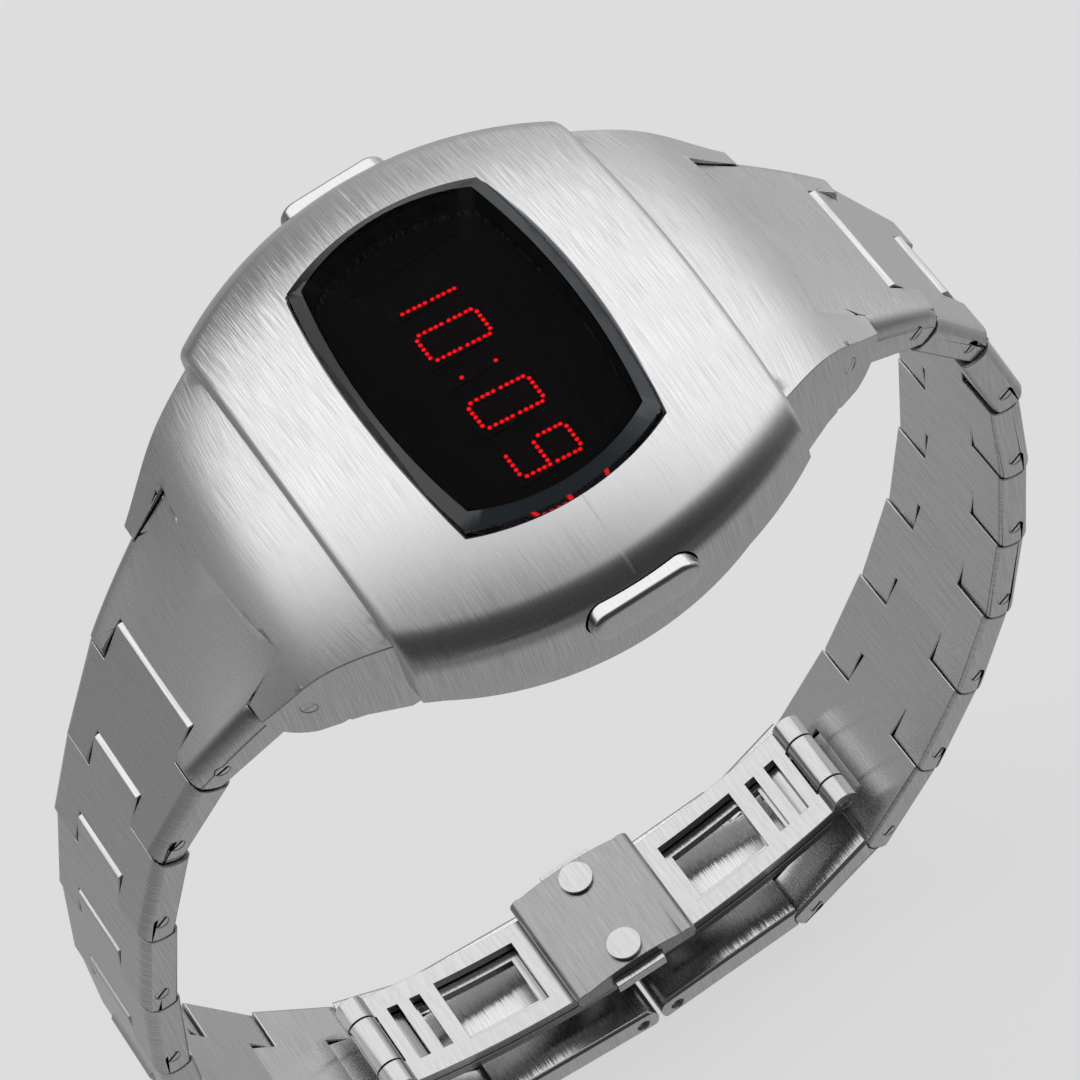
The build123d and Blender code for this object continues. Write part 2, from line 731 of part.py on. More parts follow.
def clasp_block():
    """Crowned cover over the middle of the base, with a round bar at each end."""
    floor_z = clasp_arc_z(block_half_y, 0) + plate_thickness / 2
    axis_z = block_top_z - block_crown_radius
    body = Box(2 * block_half_x, 2 * block_half_y, block_top_z - floor_z,
               align=(Align.CENTER, Align.CENTER, Align.MIN))
    body = Pos(0, clasp_centre_y, floor_z) * body
    crown = bar_x(block_crown_radius, -block_half_x, block_half_x, clasp_centre_y, axis_z)
    body = body & crown
    bar_y = block_half_y - bar_centre_inset
    for y in (clasp_centre_y - bar_y, clasp_centre_y + bar_y):
        body = body + bar_x(bar_radius, -block_half_x, block_half_x, y, floor_z + bar_radius)
    room = Box(2 * (block_half_x - block_wall), 2 * (button_half_y + side_gap), 2 * (button_half_z + running_gap))
    button_z = floor_z + button_half_z + running_gap
    body = body - Pos(0, clasp_centre_y, button_z) * room
    mouth = Box(2 * overrun + 2 * block_half_x, 2 * (button_half_y + side_gap), 2 * (button_half_z + running_gap))
    body = body - Pos(0, clasp_centre_y, button_z) * mouth
    for x in (-rivet_x, rivet_x):
        hole = Cylinder(rivet_shank_radius, 4 * overrun)
        body = body - Pos(x, clasp_centre_y, clasp_base_z) * hole
    return body


def rivet(x):
    """Rivet through block and base with a low round head on the wrist side."""
    head_z = block_top_z
    low_z = clasp_base_z - plate_thickness / 2
    shank = Cylinder(rivet_shank_radius, head_z - low_z, align=(Align.CENTER, Align.CENTER, Align.MIN))
    head = Cylinder(rivet_head_radius, rivet_head_height, align=(Align.CENTER, Align.CENTER, Align.MIN))
    return Pos(x, clasp_centre_y, low_z) * shank + Pos(x, clasp_centre_y, head_z) * head


def clasp_button():
    """Push button in the side of the block, on the 3 side, forked round the rivet."""
    floor_z = clasp_arc_z(block_half_y, 0) + plate_thickness / 2
    outer_x = block_half_x + button_proud
    body = Box(button_length + button_proud, 2 * button_half_y, 2 * button_half_z,
               align=(Align.MAX, Align.CENTER, Align.CENTER))
    body = Pos(outer_x, clasp_centre_y, floor_z + button_half_z + running_gap) * body
    reach = rivet_shank_radius + side_gap
    slot = Box(2 * reach + 2 * button_travel, 2 * reach, 4 * overrun, align=(Align.MAX, Align.CENTER, Align.CENTER))
    slot = Pos(rivet_x + reach + button_travel, clasp_centre_y, clasp_base_z) * slot
    return body - slot


def blade():
    """Folding blade on the 12 half, from the base's outer hinge to the end link's pin."""
    hinge_y = clasp_centre_y + clasp_hinge_offset
    web_low = blade_web_offset - plate_thickness / 2
    body = curved_plate(web_low, clasp_hinge_offset - barrel_radius - 2 * side_gap, clasp_half_width, blade_drop)
    neck = curved_plate(web_low, clasp_hinge_offset, blade_knuckle_half, blade_drop)
    knuckle = bar_x(barrel_radius, -blade_knuckle_half, blade_knuckle_half, hinge_y, clasp_hinge_z)
    body = body + neck + knuckle
    body = body - window_cut(blade_window_start, blade_window_end, blade_window_half_x)
    web_top = clasp_arc_z(blade_web_offset, blade_drop)
    web = Box(2 * blade_barrel_half, plate_thickness, web_top - clasp_pin_z,
              align=(Align.CENTER, Align.CENTER, Align.MIN))
    body = body + Pos(0, clasp_centre_y + blade_web_offset, clasp_pin_z) * web
    pin_y = clasp_centre_y + clasp_pin_offset
    body = body + bar_x(blade_barrel_radius, -blade_barrel_half, blade_barrel_half, pin_y, clasp_pin_z)
    body = body - bar_x(pin_radius + running_gap, -blade_barrel_half, blade_barrel_half, pin_y, clasp_pin_z)
    wide = clasp_half_width
    return body - bar_x(hinge_pin_radius + running_gap, -wide, wide, hinge_y, clasp_hinge_z)


def hinge_pin():
    """Pin through the base's outer knuckles at the 12 half."""
    return bar_x(hinge_pin_radius, -clasp_half_width, clasp_half_width,
                 clasp_centre_y + clasp_hinge_offset, clasp_hinge_z)


def hood_pin():
    """Pin through the hood's ears and the first link's tongue."""
    half = hood_end_half_width - pin_recess
    return bar_x(pin_radius, -half, half, first_pin_y, first_pin_z)


def same_side(shape):
    """Leave a piece on the 12 side."""
    return shape


route_12 = route(upper_headings_12, lower_headings_12, clasp_centre_y + clasp_pin_offset)
route_6 = route(upper_headings_6, lower_headings_6, clasp_pin_offset - clasp_centre_y)

nodes = {
    "front_shell": [front_shell()],
    "case_middle": [case_middle()],
    "crystal": [crystal()],
    "crystal_gasket": [crystal_gasket()],
    "display_mask": [display_mask()],
    "display_carrier": [display_carrier()],
    "digit_dies": digit_dies(),
    "driver_chip": [driver_chip()],
    "circuit_board": [circuit_board()],
    "quartz_can": [quartz_can()],
    "module_frame": [module_frame()],
    "coin_cell": [cell()],
    "cell_strap": [cell_strap()],
    "case_back": [case_back()],
    "case_back_gasket": [gasket_ring(back_gasket_width, back_face_z, back_face_z + back_gasket_height)],
    "case_back_screws": [case_screw(x, y) for x in (-screw_x, screw_x) for y in (-screw_y, screw_y)],
    "pusher_3": [pusher(), pusher_clip()],
    "pusher_9": [turned(pusher()), turned(pusher_clip())],
    "pusher_seals": [pusher_seal(), turned(pusher_seal())],
    "switch_leaves": [switch_leaf(), turned(switch_leaf())],
    "hood_pins": [hood_pin(), mirrored(hood_pin())],
    "clasp_base": [clasp_base()],
    "clasp_block": [clasp_block()],
    "clasp_rivets": [rivet(-rivet_x), rivet(rivet_x)],
    "clasp_hinge_pins": [hinge_pin(), other_end(hinge_pin())],
    "clasp_blade_12": [blade()],
    "clasp_blade_6": [other_end(blade())],
    "clasp_button_3": [clasp_button()],
    "clasp_button_9": [turned(clasp_button())],
}
nodes.update(chain("link_12", route_12, None, same_side))
nodes.update(chain("link_6", route_6, open_pivot_link, mirrored))

for node, solids in nodes.items():
    save(node, *solids)
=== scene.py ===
import json
import math

import bmesh
import bpy
import numpy as np
from mathutils import Matrix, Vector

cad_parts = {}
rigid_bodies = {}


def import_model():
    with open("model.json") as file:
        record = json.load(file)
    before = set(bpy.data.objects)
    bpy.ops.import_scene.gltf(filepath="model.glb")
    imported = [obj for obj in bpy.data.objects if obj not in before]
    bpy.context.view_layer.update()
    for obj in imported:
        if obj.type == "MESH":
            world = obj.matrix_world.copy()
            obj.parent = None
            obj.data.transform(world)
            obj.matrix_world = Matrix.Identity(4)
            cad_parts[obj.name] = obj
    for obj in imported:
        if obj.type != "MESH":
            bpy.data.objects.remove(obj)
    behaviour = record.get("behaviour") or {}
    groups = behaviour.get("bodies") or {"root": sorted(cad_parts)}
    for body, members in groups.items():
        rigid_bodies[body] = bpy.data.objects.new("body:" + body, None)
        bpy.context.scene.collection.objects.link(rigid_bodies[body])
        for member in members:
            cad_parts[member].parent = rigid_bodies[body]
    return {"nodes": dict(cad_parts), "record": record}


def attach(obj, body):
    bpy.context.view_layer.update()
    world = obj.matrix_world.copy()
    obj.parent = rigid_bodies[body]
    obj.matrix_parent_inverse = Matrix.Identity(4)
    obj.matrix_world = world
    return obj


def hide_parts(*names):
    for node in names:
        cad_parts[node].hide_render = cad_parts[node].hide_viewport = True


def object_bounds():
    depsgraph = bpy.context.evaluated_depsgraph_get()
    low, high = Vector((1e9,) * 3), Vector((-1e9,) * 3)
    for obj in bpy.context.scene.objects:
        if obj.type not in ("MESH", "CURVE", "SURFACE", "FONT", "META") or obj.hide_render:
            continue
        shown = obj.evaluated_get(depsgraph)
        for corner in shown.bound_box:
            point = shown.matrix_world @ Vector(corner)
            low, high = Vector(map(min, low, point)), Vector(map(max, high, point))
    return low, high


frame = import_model()
cad_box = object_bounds()


# The photographer's table: pale and plain to the camera. In the steel's reflections it is instead a glow
# of set strength with painted shade: darker than it looks, more so far out, most of all beyond the corner
# between the 3 and 12 sides, with a painted paler patch far out towards 12 on the 9 side. It lies a
# tenth of a millimetre below the lowest part of the clasp.

seen_table = 0.77
seen_flat = 0.80
table_colour = (0.74, 0.74, 0.745, 1)
table_half = 3.0
table_gap = 0.0001
cool_white = (1, 1, 1.005, 1)
# Strengths of the painted shade that the steel's reflections see in the table, and where it darkens and
# pales.
painted_shade_near = 0.42
painted_shade_far = (0.24, 0.58)
painted_shade_dark_share = 0.4
far_out = (0.05, 0.24)
dark_towards = (0.77, 0.64, 0.0)
dark_turn = (0.55, 0.97)
pale_towards = (-0.54, 0.84, 0.0)
pale_turn = (0.1, 0.9)


def add(tree, kind, sockets=None, **options):
    """Add one node to a node tree: options are its own settings, sockets its inputs as values or links."""
    made = tree.nodes.new(kind)
    for name, value in options.items():
        setattr(made, name, value)
    for name, value in (sockets or {}).items():
        if isinstance(value, bpy.types.NodeSocket):
            tree.links.new(value, made.inputs[name])
        else:
            made.inputs[name].default_value = value
    return made


def new_material(name):
    """Empty material with its output node; returns the material, its tree and the output."""
    material = bpy.data.materials.new(name)
    material.use_nodes = True
    tree = material.node_tree
    tree.nodes.clear()
    return material, tree, add(tree, "ShaderNodeOutputMaterial")


def mapped(tree, value, source=(0.0, 1.0), target=(0.0, 1.0), curve="LINEAR"):
    """A value carried from one range to another and held at the ends, on a line or a smooth step."""
    return add(tree, "ShaderNodeMapRange", {"Value": value, "From Min": source[0], "From Max": source[1],
                                            "To Min": target[0], "To Max": target[1]},
               interpolation_type=curve).outputs["Result"]


def facing(tree, vector, direction):
    """How far a unit vector points in a level direction: their dot product, from -1 to 1."""
    made = add(tree, "ShaderNodeVectorMath", {0: vector, 1: direction}, operation="DOT_PRODUCT")
    return made.outputs["Value"]


material, tree, output = new_material("table_top_with_painted_reflection_shade")
path = add(tree, "ShaderNodeLightPath")
seen = [path.outputs["Is Camera Ray"], path.outputs["Is Transmission Ray"]]
clear = add(tree, "ShaderNodeMath", {0: seen[0], 1: seen[1]}, operation="MAXIMUM").outputs[0]
place = add(tree, "ShaderNodeNewGeometry").outputs["Position"]
level_place = add(tree, "ShaderNodeVectorMath", {0: place, 1: (1, 1, 0)}, operation="MULTIPLY").outputs[0]
bearing = add(tree, "ShaderNodeVectorMath", {0: level_place}, operation="NORMALIZE").outputs[0]
# Painted shade in reflections: glossy rays see the table's glow dimmed near the watch and towards the 3/12
# corner, and lifted towards 12 on the 9 side.
dark = mapped(tree, facing(tree, bearing, dark_towards), dark_turn, (1.0, painted_shade_dark_share), "SMOOTHSTEP")
pale_share = mapped(tree, facing(tree, bearing, pale_towards), pale_turn, painted_shade_far, "SMOOTHSTEP")
far_level = add(tree, "ShaderNodeMath", {0: dark, 1: pale_share}, operation="MULTIPLY").outputs[0]
away = add(tree, "ShaderNodeVectorMath", {0: level_place}, operation="LENGTH").outputs["Value"]
far_share = mapped(tree, away, far_out, curve="SMOOTHSTEP")
painted_shade_strength = add(tree, "ShaderNodeMix", {"Factor": far_share, "A": painted_shade_near, "B": far_level},
             data_type="FLOAT").outputs["Result"]
matte = add(tree, "ShaderNodeBsdfDiffuse", {"Color": table_colour}).outputs[0]
flat = add(tree, "ShaderNodeEmission", {"Color": cool_white, "Strength": seen_table}).outputs[0]
pale = add(tree, "ShaderNodeMixShader", {0: seen_flat, 1: matte, 2: flat}).outputs[0]
dim = add(tree, "ShaderNodeEmission", {"Color": (1, 1, 1, 1), "Strength": painted_shade_strength}).outputs[0]
in_gloss = add(tree, "ShaderNodeMixShader", {0: path.outputs["Is Glossy Ray"], 1: matte, 2: dim}).outputs[0]
mixed = add(tree, "ShaderNodeMixShader", {0: clear, 1: in_gloss, 2: pale}).outputs[0]
tree.links.new(mixed, output.inputs["Surface"])

table_z = cad_box[0][2] - table_gap
corners = [(-table_half, -table_half, table_z), (table_half, -table_half, table_z),
           (table_half, table_half, table_z), (-table_half, table_half, table_z)]
sheet = bpy.data.meshes.new("table_top")
sheet.from_pydata(corners, [], [(0, 1, 2, 3)])
sheet.materials.append(material)
table = bpy.data.objects.new("table_top", sheet)
bpy.context.scene.collection.objects.link(table)


# The studio: one very large soft light overhead, brightest towards the 9 side and fading towards the
# 3 side, so the brushed steel shows bright tops and dark folds. Below it the room is dim, and a
# little paler towards 12 on the 9 side. The camera stands above the 3 and 6 sides.

light_towards = (-0.92, 0.39, 0.0)
light_fall = ((0.20, 0.06), (0.32, 0.10), (0.40, 0.27), (0.46, 0.65), (0.52, 1.12), (0.60, 1.40))
light_floor = (0.30, 0.46)
room_level = (0.06, 0.18)
room_turn = (-0.6, 0.1)
room_pale = 0.62
room_pale_turn = (0.3, 0.95)
view_across = (0.51656, 0.83674, -0.18143)
view_down = (0.67520, -0.52848, -0.51454)
view_ahead = (-0.52641, 0.14329, -0.83807)
camera_place = (0.18163, -0.04931, 0.27731)
film_width = 36.0
focal_length = 164.75

world = bpy.data.worlds.new("studio")
bpy.context.scene.world = world
world.use_nodes = True
tree = world.node_tree
tree.nodes.clear()
towards = add(tree, "ShaderNodeTexCoord").outputs["Generated"]
lit_side = facing(tree, towards, light_towards)
fall = add(tree, "ShaderNodeValToRGB", {"Fac": mapped(tree, lit_side, (-1.0, 1.0))})
fall.color_ramp.interpolation = "EASE"
while len(fall.color_ramp.elements) < len(light_fall):
    fall.color_ramp.elements.new(0.5)
brightest = light_fall[-1][1]
for stop, (where, level) in zip(fall.color_ramp.elements, light_fall):
    stop.position = where
    stop.color = (level / brightest,) * 3 + (1,)
panel = add(tree, "ShaderNodeMath", {0: fall.outputs["Color"], 1: brightest},
            operation="MULTIPLY").outputs[0]
room = mapped(tree, lit_side, room_turn, room_level, "SMOOTHSTEP")
pale_room = mapped(tree, facing(tree, towards, pale_towards), room_pale_turn, (0.0, room_pale), "SMOOTHSTEP")
room = add(tree, "ShaderNodeMath", {0: room, 1: pale_room}, operation="ADD").outputs[0]
climb = add(tree, "ShaderNodeSeparateXYZ", {0: towards}).outputs["Z"]
above = mapped(tree, climb, light_floor, curve="SMOOTHSTEP")
glow = add(tree, "ShaderNodeMix", {"Factor": above, "A": room, "B": panel},
           data_type="FLOAT").outputs["Result"]
path = add(tree, "ShaderNodeLightPath")
strength = add(tree, "ShaderNodeMix", {"Factor": path.outputs["Is Camera Ray"], "A": glow, "B": seen_table},
               data_type="FLOAT").outputs["Result"]
background = add(tree, "ShaderNodeBackground", {"Color": cool_white, "Strength": strength}).outputs[0]
tree.links.new(background, add(tree, "ShaderNodeOutputWorld").inputs["Surface"])

camera = bpy.data.objects.new("camera", bpy.data.cameras.new("camera"))
camera.data.sensor_width = film_width
camera.data.lens = focal_length
camera.data.clip_end = 20.0
camera.matrix_world = Matrix([(across, -down, -ahead, place) for across, down, ahead, place
                              in zip(view_across, view_down, view_ahead, camera_place)] + [(0, 0, 0, 1)])
bpy.context.scene.collection.objects.link(camera)
bpy.context.scene.camera = camera
bpy.context.scene.view_settings.view_transform = "Standard"


# The case middle with its two hooded lugs: solid stainless steel, brushed along the width of the
# watch, with small rounded edges left by tumbling. The other pieces of the case are fixed to it.

nodes = frame["nodes"]
body_of = {node: body for body, names in frame["record"]["behaviour"]["bodies"].items() for node in names}
crisp_angle = math.radians(28)
flat_angle = math.radians(0.6)
weld_distance = 2e-6
side_lean = 0.8
scratch_detail = 5.0
scratch_roughness = 0.68
scratch_spread = (0.3, 0.7)
scratch_gloss = 0.1
case_round = 0.00008


def brushed_steel(name, grain, tone, roughness, anisotropy, tilt, contrast):
    """Steel with fine scratches: noise stretched along V of the grain map varies its tone and gloss and
    tips the surface a little along X, each scratch by its own amount. Grain is the scratches per
    metre along V and across it."""
    material, tree, output = new_material(name)
    place = add(tree, "ShaderNodeUVMap", uv_map="grain").outputs[0]
    along = add(tree, "ShaderNodeMapping", {"Vector": place, "Scale": (grain[1], grain[0], 1)}).outputs[0]
    scratches = add(tree, "ShaderNodeTexNoise", {"Vector": along, "Scale": 1.0, "Detail": scratch_detail,
                                                 "Roughness": scratch_roughness},
                    noise_dimensions="2D").outputs["Fac"]
    shade = mapped(tree, scratches, scratch_spread)
    colour = add(tree, "ShaderNodeMix", {"Factor": shade, "A": [t * (1 - contrast) for t in tone] + [1],
                                         "B": [t * (1 + contrast) for t in tone] + [1]}, data_type="RGBA")
    gloss = mapped(tree, shade, target=(roughness * (1 + scratch_gloss), roughness * (1 - scratch_gloss)))
    tip = add(tree, "ShaderNodeCombineXYZ", {"X": mapped(tree, shade, target=(-tilt, tilt))}).outputs[0]
    normal = add(tree, "ShaderNodeNewGeometry").outputs["Normal"]
    tipped = add(tree, "ShaderNodeVectorMath", {0: normal, 1: tip}, operation="ADD").outputs[0]
    tipped = add(tree, "ShaderNodeVectorMath", {0: tipped}, operation="NORMALIZE").outputs[0]
    tangent = add(tree, "ShaderNodeTangent", direction_type="UV_MAP", uv_map="grain").outputs[0]
    steel = add(tree, "ShaderNodeBsdfPrincipled",
                {"Base Color": colour.outputs["Result"], "Metallic": 1.0, "Roughness": gloss,
                 "Anisotropic": anisotropy, "Normal": tipped, "Tangent": tangent})
    tree.links.new(steel.outputs[0], output.inputs["Surface"])
    return material


def values_of(items, name, width=1, kind=float):
    """One property of all the items of a mesh as an array, with a row for each item."""
    found = np.zeros(len(items) * width, kind)
    items.foreach_get(name, found)
    return found.reshape(-1, width) if width > 1 else found


def lay_grain(mesh, across=None):
    """UV map in metres: V follows X on tops and Z on side faces, U lies across it. U is measured in
    each face's own plane, or along the direction (y share, z share) that is given for both halves."""
    normals = values_of(mesh.polygons, "normal", 3)
    starts = values_of(mesh.polygons, "loop_start", kind=np.int32)
    totals = values_of(mesh.polygons, "loop_total", kind=np.int32)
    order = np.argsort(starts, kind="stable")
    face_of = np.repeat(order, totals[order])
    corner = values_of(mesh.loops, "vertex_index", kind=np.int32)
    places = values_of(mesh.vertices, "co", 3)[corner]
    if across:
        u = np.sign(places[:, 1]) * places[:, 1] * across[0] + places[:, 2] * across[1]
    else:
        level = np.stack([np.zeros(len(normals)), normals[:, 2], -normals[:, 1]], 1)
        level = level / (np.linalg.norm(level, axis=1, keepdims=True) + 1e-12)
        u = (places * level[face_of]).sum(1)
    side = np.abs(normals[face_of, 0]) > side_lean
    uv = np.stack([np.where(side, places[:, 1], u), np.where(side, places[:, 2], places[:, 0])], axis=1)
    layer = mesh.uv_layers.get("grain") or mesh.uv_layers.new(name="grain")
    layer.data.foreach_set("uv", uv.astype(np.float32).ravel())


def merged_mesh(node, name):
    """The node's loose triangles joined into one closed mesh, with flat areas as single faces."""
    mesh = nodes[node].data.copy()
    mesh.name = name
    work = bmesh.new()
    work.from_mesh(mesh)
    bmesh.ops.remove_doubles(work, verts=work.verts, dist=weld_distance)
    bmesh.ops.dissolve_limit(work, angle_limit=flat_angle, verts=work.verts, edges=work.edges)
    work.to_mesh(mesh)
    work.free()
    return mesh


def add_piece(name, mesh, material, body):
    """Put a finished mesh into the scene as a piece of the watch that rides on a body."""
    mesh.materials.clear()
    mesh.materials.append(material)
    mesh.shade_smooth()
    mesh.set_sharp_from_angle(angle=crisp_angle)
    piece = bpy.data.objects.new(name, mesh)
    bpy.context.scene.collection.objects.link(piece)
    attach(piece, body)
    return piece


def round_edges(piece, width, steps=2, chosen_by="ANGLE"):
    """Round the crisp edges of a piece in small steps, or each edge by its own weight."""
    rounding = piece.modifiers.new("rounded_edges", "BEVEL")
    rounding.width = width
    rounding.segments = steps
    rounding.limit_method = chosen_by
    rounding.angle_limit = crisp_angle
    rounding.use_clamp_overlap = False
    rounding.harden_normals = True


def softened(node, material, width, across=None):
    """A CAD node as tumbling leaves it: same solid, rounded edges; it stands for the node."""
    mesh = merged_mesh(node, node + "_finished")
    lay_grain(mesh, across)
    piece = add_piece(node + "_finished", mesh, material, body_of[node])
    round_edges(piece, width)
    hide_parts(node)


brushed = brushed_steel("steel_brushed_along_width", grain=(220, 10000), tone=(0.61, 0.61, 0.615),
                        roughness=0.27, anisotropy=0.9, tilt=0.04, contrast=0.16)
softened("case_middle", brushed, case_round, across=(1, -1))


# The bracelet links: solid steel of the same brushed finish, each with its pin pressed into its own
# ears. The first link of each strap is ground to meet the crown of its hood and rounded along its
# sides; the others have wide rounded edges on their outer sides and fine ones elsewhere.

wrist_centre = np.array((0.0, -0.005, -0.035))
hood_crown = 0.045
crown_start = -0.00001
side_round = 0.00155
side_round_turn = 80
side_round_steps = 9
cutter_columns = 19
cutter_rows = 25
cutter_run = (-0.3, 1.3)
cutter_half_width = 0.014
cutter_height = 0.004
side_face_lean = 0.9
side_face_area = 2e-6
soft_sides = {"_01": 0.0001, "_02": 0.00042, "_11": 0.00012}
soft_side = 0.00034
soft_edge = 0.0001
slant_range = (0.5, 0.85)
outward_share = 0.3
sideways_share = 0.3
seam_angle = math.radians(0.1)


def outer_face(mesh):
    """The largest face that looks away from the wrist: its direction, the direction across it and
    X, its height along the first, and its reach along the second from the case outwards."""
    faces = [f for f in mesh.polygons if np.dot(f.normal, np.array(f.center) - wrist_centre) > 0]
    outer = max(faces, key=lambda f: f.area)
    out = np.array(outer.normal)
    along = np.cross(out, (1, 0, 0))
    along /= np.linalg.norm(along)
    spots = np.array([mesh.vertices[i].co for i in outer.vertices])
    reach = spots @ along
    near, far = reach.min(), reach.max()
    if along[2] > 0:
        near, far = far, near
    return out, along, (spots @ out).mean(), near, far


def turn_outwards(mesh):
    """Turn every face of a closed mesh to its outside."""
    work = bmesh.new()
    work.from_mesh(mesh)
    bmesh.ops.recalc_face_normals(work, faces=work.faces)
    work.to_mesh(mesh)
    work.free()


def crown_cutter(mesh):
    """Block whose underside is what the first link is ground to: it lies crown_start off the outer
    face, less x squared over twice hood_crown at the hood, fading smoothly to none at the far end,
    and less the rounding of the sides: side_round minus the height of its circle."""
    out, along, top, near, far = outer_face(mesh)
    sides = [f for f in mesh.polygons if f.normal.x > side_face_lean and f.area > side_face_area]
    side = max(sides, key=lambda f: f.center.x)
    lean = np.array(side.normal)
    offset = np.dot(lean, side.center)
    turn = np.radians(np.linspace(0, side_round_turn, side_round_steps))
    middle = np.linspace(-1, 1, cutter_columns + 2)[1:-1]
    share = np.linspace(*cutter_run, cutter_rows)
    place = near + (far - near) * share
    half = (offset - (lean @ along) * place - (lean @ out) * top) / lean[0]
    flat = half - side_round
    curve = flat[:, None] + side_round * np.sin(turn)
    border = np.full((cutter_rows, 1), cutter_half_width)
    x = np.concatenate([-border, -curve[:, ::-1], flat[:, None] * middle, curve, border], 1).T
    fall = side_round * (1 - np.cos(turn))
    rounding = np.concatenate([fall[-1:], fall[::-1], np.zeros(cutter_columns), fall, fall[-1:]])
    share = np.broadcast_to(share, x.shape)
    place = np.broadcast_to(place, x.shape)
    fade = np.clip(1 - share, 0, 1)
    fade = fade**2 * (3 - 2 * fade)
    level = top + crown_start - x**2 / (2 * hood_crown) * fade - rounding[:, None]
    under = x[..., None] * np.array([1.0, 0, 0]) + level[..., None] * out + place[..., None] * along
    rows, columns = x.shape
    points = np.concatenate([under.reshape(-1, 3), (under + cutter_height * out).reshape(-1, 3)])
    index = np.arange(rows * columns).reshape(rows, columns)
    quads = np.stack([index[:-1, :-1], index[:-1, 1:], index[1:, 1:], index[1:, :-1]], -1).reshape(-1, 4)
    rim = np.concatenate([index[0], index[1:, -1], index[-1, -2::-1], index[-2:0:-1, 0]])
    after = np.roll(rim, -1)
    upper = rows * columns
    walls = np.stack([rim, after, after + upper, rim + upper], 1)
    cutter = bpy.data.meshes.new("crown_cutter")
    cutter.from_pydata(points.tolist(), [], np.concatenate([quads[:, ::-1], quads + upper, walls]).tolist())
    turn_outwards(cutter)
    return cutter


def cut_away(mesh, cutters):
    """The mesh with the volume of each cutter taken out."""
    holder = bpy.data.objects.new("work", mesh)
    bpy.context.scene.collection.objects.link(holder)
    for cutter in cutters:
        tool = bpy.data.objects.new("cutter", cutter)
        bpy.context.scene.collection.objects.link(tool)
        cut = holder.modifiers.new("cut", "BOOLEAN")
        cut.operation = "DIFFERENCE"
        cut.solver = "EXACT"
        cut.object = tool
    bpy.context.view_layer.update()
    result = bpy.data.meshes.new_from_object(holder.evaluated_get(bpy.context.evaluated_depsgraph_get()))
    for used in [holder] + [m.object for m in holder.modifiers]:
        bpy.data.objects.remove(used)
    return result


def weigh_edges(mesh, out, side):
    """Give each crisp edge its share of rounding: all of it on both edges of the slanting faces that
    run along the outer sides of a link, and soft_edge elsewhere."""
    work = bmesh.new()
    work.from_mesh(mesh)
    bmesh.ops.dissolve_limit(work, angle_limit=seam_angle, verts=work.verts, edges=work.edges)
    weight = work.edges.layers.float.new("bevel_weight_edge")
    for edge in work.edges:
        if len(edge.link_faces) == 2 and edge.calc_face_angle() > crisp_angle:
            run = edge.verts[0].co - edge.verts[1].co
            slanting = any(slant_range[0] < abs(f.normal.x) < slant_range[1]
                           and np.dot(f.normal, out) > outward_share for f in edge.link_faces)
            sideways = abs(run.x) > sideways_share * run.length
            edge[weight] = 1.0 if slanting and not sideways else soft_edge / side
    work.to_mesh(mesh)
    work.free()


for node in [name for name in nodes if name.startswith("link_")]:
    mesh = merged_mesh(node, node + "_finished")
    out = outer_face(mesh)[0]
    if node.endswith("_01"):
        mesh = cut_away(mesh, [crown_cutter(mesh)])
    side = soft_sides.get(node[-3:], soft_side)
    weigh_edges(mesh, out, side)
    lay_grain(mesh)
    piece = add_piece(node + "_finished", mesh, brushed, body_of[node])
    round_edges(piece, side, steps=3, chosen_by="WEIGHT")
    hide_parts(node)


# The ends of the bracelet pins: each pin is folded from half-round wire, so a narrow slot splits its
# end. It is driven in to just below the side face of the link, or of the hood, that holds it. In
# the hoods the slot is pressed almost shut.

pin_radius = 0.00053
half_slot = 0.00012
hood_half_slot = 0.00002
pin_below = 0.00005
pin_reach = 0.00033
pin_turn = 0.6
pin_turn_step = 1.1
arc_points = 12
hole_rim = (0.00053, 0.00057)
rim_depth = 0.0003


def half_rounds(places):
    """Straight half-round bars along X: each is an arc from one end of the slot to the other, with a
    flat across, once above the slot and once below it. Its outer end lies on the plane x = a + b y
    + c z that is given."""
    points = []
    faces = []
    ring_index = range(arc_points)
    for middle, plane, way, tilt, slot in places:
        start = math.asin(slot / pin_radius)
        arc = np.linspace(start, math.pi - start, arc_points)
        profile = pin_radius * np.stack([np.cos(arc), np.sin(arc)], 1)
        turned = np.array([[math.cos(tilt), -math.sin(tilt)], [math.sin(tilt), math.cos(tilt)]])
        for half in (1, -1):
            ring = half * profile @ turned.T + middle
            outer = plane[0] + ring @ plane[1:] - way * pin_below
            first = len(points) * arc_points
            second = first + arc_points
            points += [np.concatenate([(outer - way * pin_reach)[:, None], ring], 1),
                       np.concatenate([outer[:, None], ring], 1)]
            after = [(i + 1) % arc_points for i in ring_index]
            faces += [(first + i, first + j, second + j, second + i) for i, j in zip(ring_index, after)]
            faces += [tuple(first + i for i in ring_index)[::-1], tuple(second + i for i in ring_index)]
    return np.concatenate(points), faces


